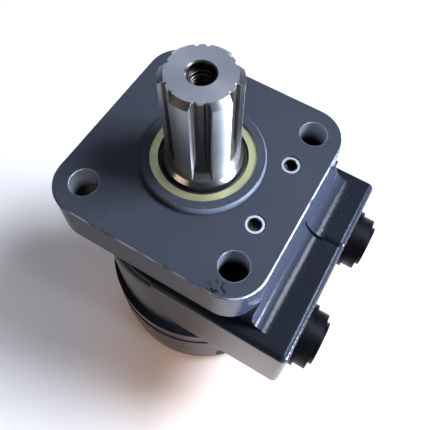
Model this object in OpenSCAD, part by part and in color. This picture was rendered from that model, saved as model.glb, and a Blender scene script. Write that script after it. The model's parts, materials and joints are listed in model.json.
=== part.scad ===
/* [Flange] */
// Side of the square mounting flange
flange_w = 81; // [79:0.5:100]
// Radius of the flange corners, seen from the front
flange_corner_r = 13; // [8:0.5:18]
// Thickness of the flange
flange_t = 19; // [15:0.5:22]
// Bevel round the mounting face
flange_bevel = 0.6; // [0.2:0.1:1.5]
// Diameter of the circle that the mounting holes lie on
bolt_circle_d = 82.5; // [80:0.5:96]
// Diameter of the mounting holes
bolt_hole_d = 10.5; // [8.5:0.5:12.5]
// Depth of the mounting holes
bolt_hole_depth = 22; // [20:0.5:24]
// Diameter of the pilot that centres the motor
pilot_d = 44.4; // [42:0.1:54]
// Height of the pilot above the mounting face
pilot_h = 2.8; // [2:0.1:6]
// Bevel round the pilot
pilot_bevel = 0.6; // [0.2:0.1:1]

/* [Output shaft] */
// Length of the shaft in front of the mounting face
shaft_len = 45.4; // [36:0.1:56]
// Diameter over the spline teeth
spline_d = 25.4; // [22:0.1:26]
// Diameter at the bottom of the spline grooves
spline_root_d = 21.6; // [18:0.1:21.6]
// Width of a spline tooth
tooth_w = 6.35; // [4.8:0.05:7]
// Number of spline teeth
teeth = 6; // [4:1:8]
// Radius of the cutter relief at the foot of each tooth
tooth_relief = 0.65; // [0.4:0.05:0.9]
// Radius of the cutter that the grooves run out on
run_out_r = 40; // [15:1:60]
// Height above the mounting face where the grooves end
run_out_z = 5; // [4.5:0.5:12]
// Diameter of the journal that the seals run on
journal_d = 28; // [26.5:0.1:29]
// Height of the journal above the mounting face
journal_top = 2.6; // [1:0.1:3.5]
// Length of the bevel at the shaft's end
shaft_bevel = 1.9; // [0.5:0.1:3]
// Diameter of the tapped hole in the shaft's end
end_thread_d = 8; // [6:1:10]
// Depth of the tapped hole
end_thread_depth = 22; // [12:1:26]
// Diameter of the countersink at the tapped hole
end_sink_d = 9.6; // [9:0.1:12]
// Diameter of the smooth bore in front of the thread
end_bore_d = 8.7; // [8.4:0.1:8.9]
// Depth of that smooth bore
end_bore_depth = 3.5; // [2:0.1:5]

/* [Housing] */
// Diameter of the waist behind the flange
waist_d = 60; // [56:0.5:64]
// Diameter of the round body beside the port block
body_d = 81.6; // [78:0.2:90]
// Radius of the shoulder between waist and body
shoulder_r = 5; // [2:0.5:7]
// Distance from the mounting face to the round body's shoulder
shoulder_drop = 31; // [28:0.5:34]
// How far the housing's rim is smaller than the gear ring, in radius
rim_step = 0.2; // [0:0.1:1]
// Length of that rim
rim_len = 4.5; // [3:0.5:8]
// Length of the round body behind the port block, with the rim
rear_len = 14.8; // [10:0.1:18]

/* [Port block] */
// Distance from the shaft axis to the port face
port_face_x = 57.5; // [54:0.5:70]
// Width of the port block
block_w = 81; // [76:0.5:98]
// Height of the port block
block_h = 41.7; // [38:0.1:48]
// Distance from the ports' axes up to the block's raised half
block_top_rise = 20; // [18:0.5:24]
// Distance from the mounting face to the ports' axes
port_drop = 49.5; // [48:0.5:60]
// Radius of the block's edges
block_edge_r = 2.5; // [1:0.1:4]
// Height of the raised half of the block's top
block_step = 1.2; // [0.5:0.1:3]
// Distance from the middle to the edge of the raised half
step_y = 7.5; // [0:0.5:15]
// Half width of the web between flange and port block
web_half_w = 35; // [33:0.5:36]
// Radius of the fillet at the foot of the web
web_fillet_r = 7; // [3:0.5:8]
// Distance between the two ports
port_gap = 46; // [40:0.5:54]
// Diameter of the port thread
port_d = 20.96; // [18:0.1:22]
// Depth of the port thread
port_depth = 15; // [12:0.5:17]
// Diameter of the drillings between ports and valve
gallery_d = 9; // [6:0.5:9.5]

/* [Port plugs] */
// Diameter of the plug's cap
plug_cap_d = 22.3; // [21:0.1:26]
// Thickness of the plug's cap
plug_cap_t = 4.8; // [3:0.1:8]
// Diameter of the plug's thin collar
plug_collar_d = 25; // [23:0.1:30]
// Thickness of the plug's collar
plug_collar_t = 1.9; // [1:0.1:3]
// Diameter of the plug's outer boss
plug_boss_d = 17; // [10:0.5:20]
// Thickness of the plug's outer boss
plug_boss_t = 1.6; // [0.8:0.1:3]
// Length of the plug's ribbed stem
plug_stem = 11; // [6:0.5:12]

/* [Check valves] */
// Distance from the shaft's centre line to the check valves
check_x = 27.9; // [27:0.1:30]
// Half of the distance between the check valves
check_y = 13.2; // [11:0.1:14]
// Diameter of the set screws
check_plug_d = 7.2; // [6:0.1:8]
// Length of the set screws
check_plug_len = 8; // [6:0.5:9]
// How deep the set screws sit under the mounting face
check_plug_sink = 0.4; // [0.2:0.1:1]
// Width across flats of the set screws' hexagon socket
check_socket = 4; // [3:0.5:4.5]
// Diameter of the check balls
check_ball_d = 4.4; // [4:0.1:5]
// How far a check ball lifts
check_lift = 1.2; // [0.6:0.1:1.5]

/* [Gear set] */
// Diameter of the circle that the rollers stand on
roller_circle_d = 56; // [54:0.5:60]
// Diameter of a roller
roller_d = 12; // [11:0.1:12.5]
// Distance between the rotor's centre and the shaft axis
eccentricity = 2.4; // [2:0.05:2.4]
// Thickness of the gear ring
ring_t = 18; // [14:0.5:40]
// Thickness of the spacer plate
spacer_t = 6; // [5:0.5:12]
// Distance from the roller circle to the cover screws
screw_outset = 6.3; // [6:0.1:9]
// Distance from the cover screws to the gear ring's edge
ring_margin = 9.1; // [7.5:0.1:11]
// Diameter of the seven oil passages
passage_d = 4.4; // [3:0.1:4.6]
// Distance from the roller circle in to the oil passages
passage_inset = 2.5; // [2:0.1:3]

/* [End cover] */
// Thickness of the end cover
cover_t = 16.5; // [14:0.5:24]
// How far the end cover is smaller than the gear ring, in radius
cover_step = 1; // [0.5:0.1:2]
// Bevel at the end cover's outer edge
cover_bevel = 1.5; // [0.5:0.1:2]
// Thread diameter of the cover screws
screw_d = 8; // [7:0.5:8]
// Width across flats of the screw heads
screw_head = 13; // [11:0.5:13]
// Height of the screw heads
screw_head_t = 5.3; // [4:0.1:7]
// Depth of the screw threads in the housing
screw_grip = 15; // [10:0.5:15]
// Thickness of the sealing washers
screw_washer_t = 1.5; // [1:0.1:2]
// Thickness of the O-ring cord
o_ring_cord = 1.7; // [1.4:0.1:1.8]

/* [Valve spool] */
// Width of the ring grooves
groove_w = 5; // [4:0.5:6]
// Distance from the ports' axes to each ring groove
groove_offset = 10.5; // [9.5:0.5:11]
// Depth of the ring grooves in the housing bore
groove_depth = 2.5; // [2:0.1:2.7]
// Wall between the ring grooves and the oil passages
land_wall = 1.8; // [1.5:0.1:2.2]
// Width of the timing slots
slot_w = 4.6; // [3.5:0.1:5]
// Depth of the timing slots
slot_depth = 3.4; // [2.5:0.1:3.6]
// Wall between the timing slots and the spool's hollow
spool_wall = 2.6; // [2:0.1:3.4]

/* [Cardan shaft] */
// Number of teeth on each crowned head
cardan_teeth = 12; // [10:1:13]
// Length of each crowned head
cardan_head = 11; // [8:0.5:12]
// Height of the head's teeth
cardan_tooth_h = 2; // [1.5:0.1:2.2]
// Width of the head's teeth
cardan_tooth_w = 2.3; // [1.8:0.1:2.4]
// Diameter of the cardan shaft between its heads
cardan_d = 16; // [13:0.5:17]
// Depth of the crowned front head's middle behind the mounting face
cardan_front = 37; // [36:0.5:40]
// Diameter of the cardan thrust disc
disc_d = 18; // [14:0.5:20]
// Thickness of the cardan thrust disc
disc_t = 2.2; // [1.5:0.1:3]

/* [Seals and thrust bearing] */
// Outer diameter of the dust seal
dust_seal_d = 37.4; // [36:0.1:38]
// Inner diameter of the dust seal's case
dust_case_d = 31.6; // [31:0.1:33]
// Height of the dust seal
dust_seal_h = 5; // [4:0.1:5.2]
// How deep the dust seal sits under the pilot's face
dust_seal_sink = 0.95; // [0.5:0.05:1.5]
// Length of the shaft seal
shaft_seal_h = 6.3; // [5:0.1:7]
// Thickness of the seal support ring
support_t = 1.8; // [1.2:0.1:2.5]
// Thickness of the web between the two seals
seal_web = 2.2; // [1.5:0.1:3]
// Thickness of each thrust race
race_t = 1; // [0.8:0.1:1.5]
// Diameter of the bearing needles
needle_d = 2; // [1.5:0.1:2.5]
// Number of bearing needles
needles = 24; // [16:1:28]

/* [Drain] */
// Diameter of the drain thread
drain_d = 13.2; // [10:0.1:14]
// Depth of the drain thread
drain_depth = 13; // [10:0.5:14]
// Distance from the mounting face to the drain's axis
drain_drop = 45; // [44:0.5:50]
// Distance from the shaft axis plane to the drain's axis
drain_x = 12; // [10:0.5:16]
// Diameter of the drain boss
drain_boss_d = 23; // [20:0.5:25]
// How far the drain boss stands out of the round body
drain_boss_out = 2.8; // [1.5:0.1:5]
// Width across flats of the drain plug's head
drain_head = 17; // [15:0.5:19]

/* [Clearances] */
// Radial running clearance of shafts, spool and rollers
run_gap = 0.03; // [0.01:0.01:0.05]
// Radial clearance between rotor and rollers
mesh_gap = 0.08; // [0.06:0.01:0.12]
// Clearance between faces that slide on each other
face_gap = 0.03; // [0.02:0.01:0.06]
// Radial clearance of a screw in a plain hole
hole_gap = 0.3; // [0.2:0.05:0.5]
// Radial clearance of a screw in its thread
thread_gap = 0.04; // [0.02:0.01:0.08]
// Clearance round the cardan teeth, which lets the shaft tilt
tilt_gap = 0.4; // [0.35:0.05:0.5]

/* [Hidden] */
$fn = 72;
eps = 0.01;

// Levels along the shaft axis, from the front to the rear
shaft_top_z = shaft_len;
flange_back_z = -flange_t;
dust_seal_top_z = pilot_h - dust_seal_sink;
dust_pocket_z = dust_seal_top_z - dust_seal_h;
shaft_seal_top_z = dust_pocket_z - seal_web;
support_top_z = shaft_seal_top_z - shaft_seal_h;
race_front_z = support_top_z - support_t;
needle_z = race_front_z - race_t - needle_d / 2;
race_rear_z = needle_z - needle_d / 2;
spool_top_z = race_rear_z - race_t;
port_z = -port_drop;
block_top_z = port_z + block_top_rise;
block_bottom_z = block_top_z - block_h;
housing_rear_z = block_bottom_z - rear_len;
rim_top_z = housing_rear_z + rim_len;
spacer_rear_z = housing_rear_z - spacer_t;
ring_rear_z = spacer_rear_z - ring_t;
cover_rear_z = ring_rear_z - cover_t;
washer_rear_z = cover_rear_z - screw_washer_t;
spool_rear_z = housing_rear_z + 1.5;

// Radii of the gear set and of what lines up with it
pockets = 7;
lobes = pockets - 1;
roller_circle_r = roller_circle_d / 2;
roller_r = roller_d / 2;
pocket_angle = 360 / pockets;
screw_circle_r = roller_circle_r + screw_outset;
ring_r = screw_circle_r + ring_margin;
ring_bore_r = roller_circle_r + 2 * eccentricity - roller_r + 0.2;
passage_r = roller_circle_r - passage_inset;
housing_rim_r = ring_r - rim_step;
cover_r = ring_r - cover_step;
screw_hole_r = screw_d / 2 + hole_gap;
screw_thread_r = screw_d / 2;
o_ring_r = (screw_circle_r + screw_hole_r + ring_r) / 2;
o_ring_groove_w = o_ring_cord + 0.1;
o_ring_groove_t = o_ring_cord * 0.8;

// Radii of the valve, its hollow and the cardan heads
groove_r = passage_r - passage_d / 2 - land_wall;
spool_bore_r = groove_r - groove_depth;
spool_r = spool_bore_r - run_gap;
hollow_r = spool_r - slot_depth - spool_wall;
cardan_tip_r = hollow_r - 1.5;
cardan_root_r = cardan_tip_r - cardan_tooth_h;
journal_r = journal_d / 2;
seal_pocket_r = spool_bore_r - 0.6;
front_bore_r = journal_r + 0.5;
cardan_front_z = -cardan_front;
cardan_rear_z = (spacer_rear_z + ring_rear_z) / 2;
cardan_span = cardan_front_z - cardan_rear_z;
cardan_tilt = atan(eccentricity / cardan_span);
hollow_top_z = cardan_front_z + cardan_head / 2 + 2.5;

// Places of the mounting holes, ports and drain
bolt_xy = bolt_circle_d / 2 / sqrt(2);
port_y = port_gap / 2;
port_bottom_x = port_face_x - port_depth;
drain_seat_y = body_d / 2 + drain_boss_out;
drain_z = -drain_drop;
check_seat_z = -check_plug_sink - check_plug_len - 6.5;
check_bore_r = 1.5;
check_chamber_r = check_ball_d / 2 + 0.4;
check_ball_z = check_seat_z + sqrt(pow(check_ball_d / 2, 2) - pow(check_bore_r, 2)) + face_gap;
needle_ring_r = (journal_r + spool_r) / 2 + 0.2;
needle_len = spool_r - journal_r - 1.8;

// Gives a rod along Z between two levels
module rod(z0, z1, r) {
    translate([0, 0, min(z0, z1)])
        cylinder(h = abs(z1 - z0), r = r);
}

// Gives a tube along Z between two levels
module tube(z0, z1, outer_r, inner_r) {
    difference() {
        rod(z0, z1, outer_r);
        rod(min(z0, z1) - 1, max(z0, z1) + 1, inner_r);
    }
}

// Gives a rod with a bevel at its upper end
module bevelled_rod(z0, z1, r, bevel) {
    rod(z0, z1 - bevel, r);
    translate([0, 0, z1 - bevel])
        cylinder(h = bevel, r1 = r, r2 = r - bevel);
}

// Gives a round drilling from one point to another
module drilling(from, to, r) {
    way = to - from;
    length = norm(way);
    translate(from)
        rotate([0, acos(way[2] / length), atan2(way[1], way[0])])
            cylinder(h = length, r = r);
}

// Repeats its child evenly round the axis
module ring_of(count, phase = 0) {
    for (i = [0 : count - 1])
        rotate([0, 0, phase + i * 360 / count])
            children();
}

// Mirrors its child to the other side of the XZ plane as well
module both_sides() {
    children();
    mirror([0, 1, 0])
        children();
}

// Gives a prism whose section is a square with a bevelled upper edge
module bevelled_bar(width, length, t, bevel) {
    half = width / 2;
    rotate([90, 0, 0])
        linear_extrude(height = length, center = true)
            polygon([[-half, -t], [half, -t], [half, -bevel], [half - bevel, 0],
                [bevel - half, 0], [-half, -bevel]]);
}

// Gives the flange as a plate with round corners and a bevelled front edge
module flange_plate() {
    inner = flange_w - 2 * flange_corner_r;
    centre = inner / 2;
    bevelled_bar(flange_w, inner, flange_t, flange_bevel);
    rotate([0, 0, 90])
        bevelled_bar(flange_w, inner, flange_t, flange_bevel);
    for (x = [-centre, centre], y = [-centre, centre])
        translate([x, y, 0])
            bevelled_rod(flange_back_z, 0, flange_corner_r, flange_bevel);
}

// Gives a box with all its edges and corners rounded
module rounded_box(low, high, r) {
    inner_low = low + [r, r, r];
    size = high - low - 2 * [r, r, r];
    translate(inner_low) {
        translate([-r, 0, 0])
            cube(size + [2 * r, 0, 0]);
        translate([0, -r, 0])
            cube(size + [0, 2 * r, 0]);
        translate([0, 0, -r])
            cube(size + [0, 0, 2 * r]);
        for (y = [0, size[1]], z = [0, size[2]])
            translate([0, y, z])
                rotate([0, 90, 0])
                    cylinder(h = size[0], r = r);
        for (x = [0, size[0]], z = [0, size[2]])
            translate([x, 0, z])
                rotate([-90, 0, 0])
                    cylinder(h = size[1], r = r);
        for (x = [0, size[0]], y = [0, size[1]])
            translate([x, y, 0])
                cylinder(h = size[2], r = r);
        for (x = [0, size[0]], y = [0, size[1]], z = [0, size[2]])
            translate([x, y, z])
                sphere(r = r);
    }
}

// Gives a slab of the web between two levels of Y, with a fillet at its foot on the port side
module web_slab(low_y, high_y, foot_z, fillet_r) {
    wall_x = flange_w / 2;
    translate([0, high_y, foot_z])
        rotate([90, 0, 0])
            linear_extrude(height = high_y - low_y)
                difference() {
                    translate([0, -1])
                        square([wall_x + fillet_r, flange_back_z - foot_z + 2]);
                    translate([wall_x + fillet_r, fillet_r])
                        circle(fillet_r);
                    translate([wall_x, fillet_r])
                        square([fillet_r + 1, flange_back_z - foot_z]);
                }
}

// Gives the web that joins the port block to the flange; its raised half is fuller
module web() {
    web_slab(-web_half_w, step_y, block_top_z - block_step, web_fillet_r);
    web_slab(step_y - eps, web_half_w, block_top_z, web_fillet_r + block_step);
}

// Gives the round body with its shoulder and the wider rim at its rear
module round_body() {
    body_r = body_d / 2;
    rotate_extrude() {
        translate([0, rim_top_z])
            square([body_r - shoulder_r, -shoulder_drop - rim_top_z]);
        translate([body_r - shoulder_r, -shoulder_drop - shoulder_r])
            circle(shoulder_r);
        translate([0, rim_top_z])
            square([body_r, -shoulder_drop - shoulder_r - rim_top_z]);
        polygon([[0, rim_top_z + 1], [body_r, rim_top_z + 1], [housing_rim_r, rim_top_z],
            [housing_rim_r, housing_rear_z], [0, housing_rear_z]]);
    }
}

// Gives the port block with its raised half
module port_block() {
    side = block_w / 2;
    low_top_z = block_top_z - block_step;
    rounded_box([0, -side, block_bottom_z], [port_face_x, side, low_top_z], block_edge_r);
    rounded_box([0, step_y, block_bottom_z], [port_face_x, side, block_top_z], block_edge_r);
}

// Gives the boss that the drain plug seats on
module drain_boss() {
    translate([-drain_x, drain_seat_y, drain_z])
        rotate([90, 0, 0])
            cylinder(h = body_d / 4, r = drain_boss_d / 2);
}

// Gives the bores along the shaft axis, from the dust seal's pocket to the valve bore
module main_bore() {
    rod(dust_pocket_z, pilot_h + 1, dust_seal_d / 2);
    rod(shaft_seal_top_z, dust_pocket_z + 1, front_bore_r);
    rod(race_front_z, shaft_seal_top_z, seal_pocket_r);
    rod(housing_rear_z - 1, race_front_z, spool_bore_r);
    for (side = [-1, 1])
        rod(port_z + side * groove_offset - groove_w / 2, port_z + side * groove_offset + groove_w / 2,
            groove_r);
}

// Gives the seven oil passages from the valve's middle to the gear set
module oil_passages() {
    ring_of(pockets, pocket_angle / 2) {
        translate([passage_r, 0, 0])
            rod(housing_rear_z - 1, port_z, passage_d / 2);
        drilling([spool_bore_r - 1, 0, port_z], [passage_r, 0, port_z], passage_d / 2);
    }
}

// Gives one port with its drilling to a ring groove: side is 1 for port A and -1 for port B
module port_cut(side) {
    groove_z = port_z + side * groove_offset;
    translate([port_bottom_x, side * port_y, port_z])
        rotate([0, 90, 0])
            cylinder(h = port_depth + 1, r = port_d / 2);
    drilling([port_bottom_x + 1, side * port_y, port_z + side * 2],
        [spool_bore_r * 0.7, side * spool_bore_r * 0.68, groove_z], gallery_d / 2);
}

// Gives one check valve's tapped hole, ball chamber and drillings
module check_cut(side) {
    chamber_top_z = -check_plug_sink - check_plug_len;
    vent_z = chamber_top_z - 1.4;
    translate([check_x, side * check_y, 0]) {
        rod(chamber_top_z, 1, check_plug_d / 2 + thread_gap);
        rod(check_seat_z, chamber_top_z + 1, check_chamber_r);
        rod(port_z + side * 5 - 2, check_seat_z + 1, check_bore_r);
    }
    drilling([check_x, side * check_y, vent_z],
        [seal_pocket_r * 0.85, side * seal_pocket_r * 0.85 * check_y / check_x, vent_z], 1);
}

// Gives the drain thread and its drilling to the thrust bearing's chamber
module drain_cut() {
    bottom_y = drain_seat_y - drain_depth;
    translate([-drain_x, drain_seat_y + 1, drain_z])
        rotate([90, 0, 0])
            cylinder(h = drain_depth + 1, r = drain_d / 2);
    drilling([-drain_x, bottom_y, drain_z + 1], [-spool_bore_r * 0.3, spool_bore_r * 0.88, needle_z], 2);
}

// Gives a ring groove for an O-ring, cut up from a face at level z
module o_ring_cut(z) {
    tube(z - 1, z + o_ring_groove_t, o_ring_r + o_ring_groove_w / 2, o_ring_r - o_ring_groove_w / 2);
}

module housing() {
    color("#2c313a")
        difference() {
            union() {
                flange_plate();
                bevelled_rod(-1, pilot_h, pilot_d / 2, pilot_bevel);
                rod(-shoulder_drop - 1, flange_back_z + 1, waist_d / 2);
                round_body();
                port_block();
                web();
                drain_boss();
            }
            main_bore();
            for (x = [-bolt_xy, bolt_xy], y = [-bolt_xy, bolt_xy])
                translate([x, y, 0])
                    rod(-bolt_hole_depth, 1, bolt_hole_d / 2);
            oil_passages();
            for (side = [-1, 1]) {
                port_cut(side);
                check_cut(side);
            }
            drain_cut();
            ring_of(pockets, pocket_angle / 2)
                translate([screw_circle_r, 0, 0])
                    rod(housing_rear_z - 1, housing_rear_z + screw_grip + 1, screw_thread_r + thread_gap);
            o_ring_cut(housing_rear_z);
        }
}

// Gives the section of the spline: a round core with straight-sided teeth
module spline_section() {
    intersection() {
        circle(spline_d / 2);
        difference() {
            union() {
                circle(spline_root_d / 2);
                ring_of(teeth, 180 / teeth)
                    translate([0, -tooth_w / 2])
                        square([spline_d, tooth_w]);
            }
            ring_of(teeth, 180 / teeth)
                for (side = [-1, 1])
                    translate([spline_root_d / 2, side * (tooth_w / 2 + tooth_relief - 0.05)])
                        circle(tooth_relief, $fn = 24);
        }
    }
}

// Gives what the cutter takes out of the splined end, running out towards the journal
module spline_grooves() {
    deep_r = spline_root_d / 2 - tooth_relief - 0.2;
    rise = spline_d / 2 - deep_r;
    run_out_len = sqrt(pow(run_out_r, 2) - pow(run_out_r - rise, 2));
    full_z = run_out_z + run_out_len;
    difference() {
        union() {
            rod(full_z, shaft_top_z + 1, spline_d);
            rotate_extrude()
                translate([deep_r + run_out_r, full_z])
                    intersection() {
                        circle(run_out_r);
                        translate([-run_out_r, -run_out_len])
                            square([run_out_r, run_out_len]);
                    }
        }
        translate([0, 0, run_out_z - run_out_r])
            linear_extrude(height = shaft_top_z + run_out_r)
                spline_section();
    }
}

// Gives the timing slots of the spool, six open to each ring groove
module timing_slots() {
    reach = groove_offset + groove_w / 2;
    overlap = passage_d / 2 + 0.6;
    for (side = [-1, 1])
        ring_of(lobes, 90 / lobes * (2 - side))
            translate([spool_r - slot_depth, -slot_w / 2, port_z - (side < 0 ? reach : overlap)])
                cube([slot_depth + 1, slot_w, reach + overlap]);
}

// Gives the internal spline that a crowned cardan head works in
module cardan_socket_section() {
    circle(cardan_root_r + tilt_gap);
    ring_of(cardan_teeth)
        translate([0, -cardan_tooth_w / 2 - tilt_gap])
            square([cardan_tip_r + tilt_gap, cardan_tooth_w + 2 * tilt_gap]);
}

module output_shaft() {
    shaft_r = spline_d / 2;
    color("#b9bcc0")
        difference() {
            union() {
                bevelled_rod(0, shaft_top_z, shaft_r, shaft_bevel);
                rod(spool_top_z, journal_top, journal_r);
                translate([0, 0, journal_top])
                    cylinder(h = 1.5, r1 = journal_r, r2 = shaft_r);
                rod(spool_rear_z, spool_top_z, spool_r);
            }
            spline_grooves();
            rod(shaft_top_z - end_thread_depth, shaft_top_z + 1, end_thread_d / 2);
            rod(shaft_top_z - end_bore_depth, shaft_top_z + 1, end_bore_d / 2);
            translate([0, 0, shaft_top_z - end_sink_d / 2 + end_bore_d / 2])
                cylinder(h = (end_sink_d - end_bore_d) / 2 + eps, d1 = end_bore_d, d2 = end_sink_d + 2 * eps);
            for (side = [-1, 1])
                tube(port_z + side * groove_offset - groove_w / 2 + 0.5,
                    port_z + side * groove_offset + groove_w / 2 - 0.5, spool_r + 1, spool_r - slot_depth);
            timing_slots();
            rod(spool_rear_z - 1, cardan_front_z - cardan_head / 2 - 1, hollow_r);
            translate([0, 0, cardan_front_z - cardan_head / 2 - 1])
                linear_extrude(height = cardan_head + 2)
                    cardan_socket_section();
            rod(cardan_front_z + cardan_head / 2 + 0.9, hollow_top_z, cardan_root_r + tilt_gap);
        }
}

// Gives one crowned head, centred on the origin
module crowned_head() {
    crown_r = 40;
    intersection() {
        linear_extrude(height = cardan_head, center = true) {
            circle(cardan_root_r);
            ring_of(cardan_teeth)
                translate([0, -cardan_tooth_w / 2])
                    square([cardan_tip_r + 1, cardan_tooth_w]);
        }
        rotate_extrude()
            intersection() {
                translate([cardan_tip_r - crown_r, 0])
                    circle(crown_r, $fn = 144);
                translate([0, -cardan_head])
                    square([cardan_tip_r + 1, 2 * cardan_head]);
            }
    }
}

module cardan_shaft() {
    reach = cardan_head / 2;
    color("#8c8e91")
        translate([0, 0, cardan_front_z])
            rotate([0, -cardan_tilt, 0]) {
                crowned_head();
                rod(-cardan_span, 0, cardan_d / 2);
                translate([0, 0, -cardan_span])
                    crowned_head();
                translate([0, 0, reach])
                    cylinder(h = 1.5, r1 = cardan_root_r - 1, r2 = cardan_root_r - 2.5);
                translate([0, 0, -cardan_span - reach - 1.5])
                    cylinder(h = 1.5, r1 = cardan_root_r - 2.5, r2 = cardan_root_r - 1);
            }
}

module cardan_disc() {
    color("#9a9a96")
        rod(ring_rear_z - face_gap, ring_rear_z - face_gap - disc_t, disc_d / 2);
}

module spacer_plate() {
    color("#3a3f47")
        difference() {
            rod(spacer_rear_z, housing_rear_z, ring_r - 0.4);
            rod(spacer_rear_z - 1, housing_rear_z + 1, cardan_d / 2 + eccentricity + 1.4);
            ring_of(pockets, pocket_angle / 2) {
                translate([passage_r, 0, 0])
                    rod(spacer_rear_z - 1, housing_rear_z + 1, passage_d / 2);
                translate([screw_circle_r, 0, 0])
                    rod(spacer_rear_z - 1, housing_rear_z + 1, screw_hole_r);
            }
            o_ring_cut(spacer_rear_z);
        }
}

module gear_ring() {
    color("#30353d")
        difference() {
            rod(ring_rear_z, spacer_rear_z, ring_r);
            rod(ring_rear_z - 1, spacer_rear_z + 1, ring_bore_r);
            ring_of(pockets)
                translate([roller_circle_r, 0, 0])
                    rod(ring_rear_z - 1, spacer_rear_z + 1, roller_r + run_gap);
            ring_of(pockets, pocket_angle / 2)
                translate([screw_circle_r, 0, 0])
                    rod(ring_rear_z - 1, spacer_rear_z + 1, screw_hole_r);
            o_ring_cut(ring_rear_z);
        }
}

// Gives a point of the rotor's outline: the path of the roller centres, seen from the rotor,
// moved in by the roller's radius
function rotor_point(u) =
    let (
        path = roller_circle_r * [cos(u), sin(u)] - eccentricity * [cos(pockets * u), sin(pockets * u)],
        out = roller_circle_r * [cos(u), sin(u)] - pockets * eccentricity * [cos(pockets * u), sin(pockets * u)]
    )
    path - (roller_r + mesh_gap) * out / norm(out);

module rotor() {
    steps = 28 * lobes;
    color("#a3a6aa")
        translate([eccentricity, 0, ring_rear_z + face_gap])
            linear_extrude(height = ring_t - 2 * face_gap)
                difference() {
                    polygon([for (i = [0 : steps - 1]) rotor_point(i * 360 / steps)]);
                    cardan_socket_section();
                }
}

module roller(number) {
    color("#c9ccd0")
        rotate([0, 0, (number - 1) * pocket_angle])
            translate([roller_circle_r, 0, 0])
                rod(ring_rear_z + face_gap, spacer_rear_z - face_gap, roller_r);
}

module end_cover() {
    color("#2c313a")
        difference() {
            union() {
                rod(cover_rear_z + cover_bevel, ring_rear_z, cover_r);
                translate([0, 0, cover_rear_z])
                    cylinder(h = cover_bevel, r1 = cover_r - cover_bevel, r2 = cover_r);
            }
            rod(ring_rear_z - disc_t - 2 * face_gap, ring_rear_z + 1, disc_d / 2 + 0.3);
            ring_of(pockets, pocket_angle / 2)
                translate([screw_circle_r, 0, 0])
                    rod(cover_rear_z - 1, ring_rear_z + 1, screw_hole_r);
        }
}

module cover_screws() {
    color("#5a5d61")
        ring_of(pockets, pocket_angle / 2)
            translate([screw_circle_r, 0, 0]) {
                rod(washer_rear_z - 1, housing_rear_z + screw_grip, screw_d / 2);
                translate([0, 0, washer_rear_z - screw_head_t])
                    rotate([0, 0, 30])
                        cylinder(h = screw_head_t, r = screw_head / sqrt(3), $fn = 6);
            }
}

module screw_washers() {
    color("#a8794a")
        ring_of(pockets, pocket_angle / 2)
            translate([screw_circle_r, 0, 0])
                tube(washer_rear_z, cover_rear_z, screw_head / 2, screw_d / 2 + thread_gap);
}

// Gives an O-ring in the groove that opens down at level z
module o_ring(z) {
    color("#1b1b1c")
        translate([0, 0, z + o_ring_groove_t / 2])
            rotate_extrude()
                translate([o_ring_r, 0])
                    circle(o_ring_groove_t / 2 - 0.01);
}

module housing_o_ring() {
    o_ring(housing_rear_z);
}

module ring_o_ring() {
    o_ring(spacer_rear_z);
}

module cover_o_ring() {
    o_ring(ring_rear_z);
}

module dust_seal_case() {
    color("#b4b45c")
        tube(dust_pocket_z, dust_seal_top_z, dust_seal_d / 2, dust_case_d / 2);
}

module dust_seal_lip() {
    lip_r = journal_r + run_gap;
    case_r = dust_case_d / 2;
    color("#17181a")
        rotate_extrude()
            polygon([[case_r, dust_pocket_z + 0.3], [case_r, dust_seal_top_z - 1.2],
                [lip_r + 0.9, dust_seal_top_z - 0.9], [lip_r, dust_seal_top_z - 1.3],
                [lip_r, dust_seal_top_z - 2], [lip_r + 0.8, dust_pocket_z + 0.3]]);
}

module shaft_seal() {
    lip_r = journal_r + run_gap;
    outer_r = seal_pocket_r - 0.02;
    low_z = support_top_z;
    high_z = shaft_seal_top_z - 0.02;
    color("#202123")
        rotate_extrude()
            polygon([[outer_r, low_z], [outer_r, high_z], [lip_r + 1, high_z], [lip_r, high_z - 1],
                [lip_r, high_z - 2], [lip_r + 1.3, high_z - 3], [lip_r + 1.3, low_z]]);
}

module seal_support_ring() {
    color("#8f9296")
        tube(race_front_z, support_top_z, seal_pocket_r - 0.02, journal_r + 0.4);
}

// Gives a flat race whose front face is at level z
module thrust_race(z) {
    color("#c4c7cb")
        tube(z - race_t, z, spool_r - 0.1, journal_r + 0.3);
}

module thrust_race_front() {
    thrust_race(race_front_z);
}

module thrust_race_rear() {
    thrust_race(race_rear_z);
}

module thrust_cage() {
    half_t = needle_d * 0.3;
    color("#b08d4a")
        difference() {
            tube(needle_z - half_t, needle_z + half_t, spool_r - 0.2, journal_r + 0.5);
            ring_of(needles)
                translate([needle_ring_r, 0, needle_z])
                    cube([needle_len + 0.1, needle_d + 0.1, needle_d], center = true);
        }
}

module thrust_needles() {
    color("#d2d5d8")
        ring_of(needles)
            translate([needle_ring_r - needle_len / 2, 0, needle_z])
                rotate([0, 90, 0])
                    cylinder(h = needle_len, r = needle_d / 2 - 0.02, $fn = 24);
}

module check_plugs() {
    color("#c8c9cc")
        for (side = [-1, 1])
            translate([check_x, side * check_y, -check_plug_sink])
                difference() {
                    bevelled_rod(-check_plug_len, 0, check_plug_d / 2, 0.3);
                    translate([0, 0, -check_plug_len / 2])
                        cylinder(h = check_plug_len, r = check_socket / sqrt(3), $fn = 6);
                    translate([0, 0, -0.6])
                        cylinder(h = 1, r1 = check_socket / 2 - 0.1, r2 = check_socket / 2 + 0.9);
                }
}

// Gives one check ball: side is 1 for port A and -1 for port B
module check_ball(side) {
    color("#c9ccd0")
        translate([check_x, side * check_y, check_ball_z])
            sphere(r = check_ball_d / 2);
}

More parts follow.
